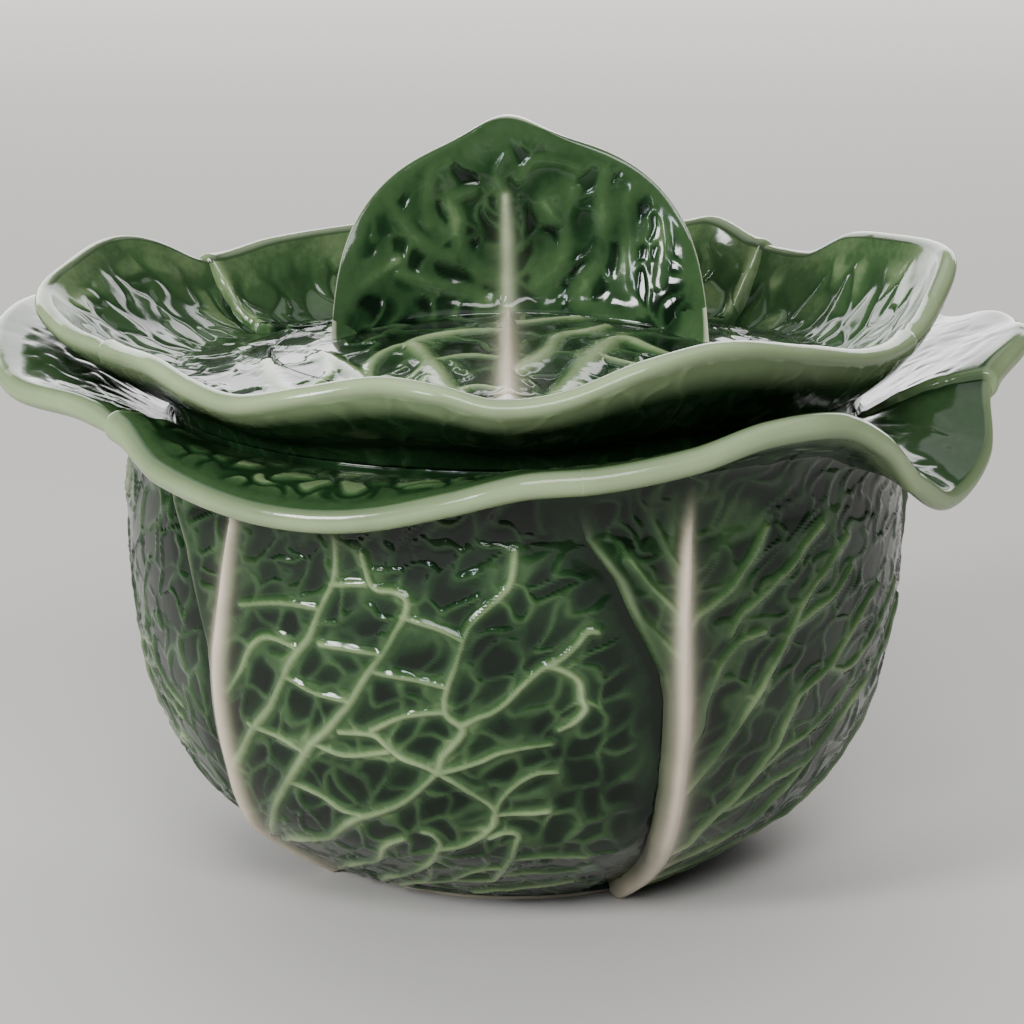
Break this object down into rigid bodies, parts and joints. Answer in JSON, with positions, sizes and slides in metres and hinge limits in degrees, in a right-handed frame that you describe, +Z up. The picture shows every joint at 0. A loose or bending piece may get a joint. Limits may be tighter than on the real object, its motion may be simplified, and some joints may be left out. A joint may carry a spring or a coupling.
{
  "type": "soup tureen",
  "caption": "Round ceramic soup tureen clothed in cabbage leaves, with a wavy rolled brim and a lift-off dish lid whose upright leaf is the handle.",
  "frame": {"origin": "on the pot's axis, at the level of the surface that the foot ring stands on", "axes": "+Z up along the pot's axis, -Y towards the front, +X towards the pointed right ear of the brim"},
  "size_m": [0.3418, 0.2978, 0.2411],
  "materials": {
    "bowl_wall": "dark green gloss glaze",
    "foot_ring": "cream gloss glaze, wiped bare under the foot",
    "bowl_leaf_front_left": "green gloss glaze, pale on the veins and on the rolled edge",
    "bowl_leaf_front_right": "green gloss glaze, pale on the veins and on the rolled edge",
    "bowl_leaf_right": "green gloss glaze, pale on the veins and on the rolled edge",
    "bowl_leaf_back": "green gloss glaze, pale on the veins and on the rolled edge",
    "bowl_leaf_left": "green gloss glaze, pale on the veins and on the rolled edge",
    "lid_plate": "green gloss glaze with pale veins",
    "lid_flange": "dark green gloss glaze",
    "lid_leaf_front": "green gloss glaze, pale on the veins and on the rolled edge",
    "lid_leaf_right": "green gloss glaze, pale on the veins and on the rolled edge",
    "lid_leaf_back_right": "green gloss glaze, pale on the veins and on the rolled edge",
    "lid_leaf_back_left": "green gloss glaze, pale on the veins and on the rolled edge",
    "lid_leaf_left": "green gloss glaze, pale on the veins and on the rolled edge",
    "handle_leaf": "green gloss glaze, pale on the midrib and on the edge"
  },
  "bodies": {
    "bowl": {"bowl_wall": "bowl_wall", "foot_ring": "foot_ring", "bowl_leaf_front_left": "bowl_leaf_front_left", "bowl_leaf_front_right": "bowl_leaf_front_right", "bowl_leaf_right": "bowl_leaf_right", "bowl_leaf_back": "bowl_leaf_back", "bowl_leaf_left": "bowl_leaf_left"},
    "lid": {"lid_plate": "lid_plate", "lid_flange": "lid_flange", "lid_leaf_front": "lid_leaf_front", "lid_leaf_right": "lid_leaf_right", "lid_leaf_back_right": "lid_leaf_back_right", "lid_leaf_back_left": "lid_leaf_back_left", "lid_leaf_left": "lid_leaf_left", "handle_leaf": "handle_leaf"}
  },
  "joints": [
    {"name": "lid_lift", "type": "slide", "parent": "bowl", "child": "lid", "axis": [0, 0, 1], "range_m": [0, 0.12]}
  ]
}
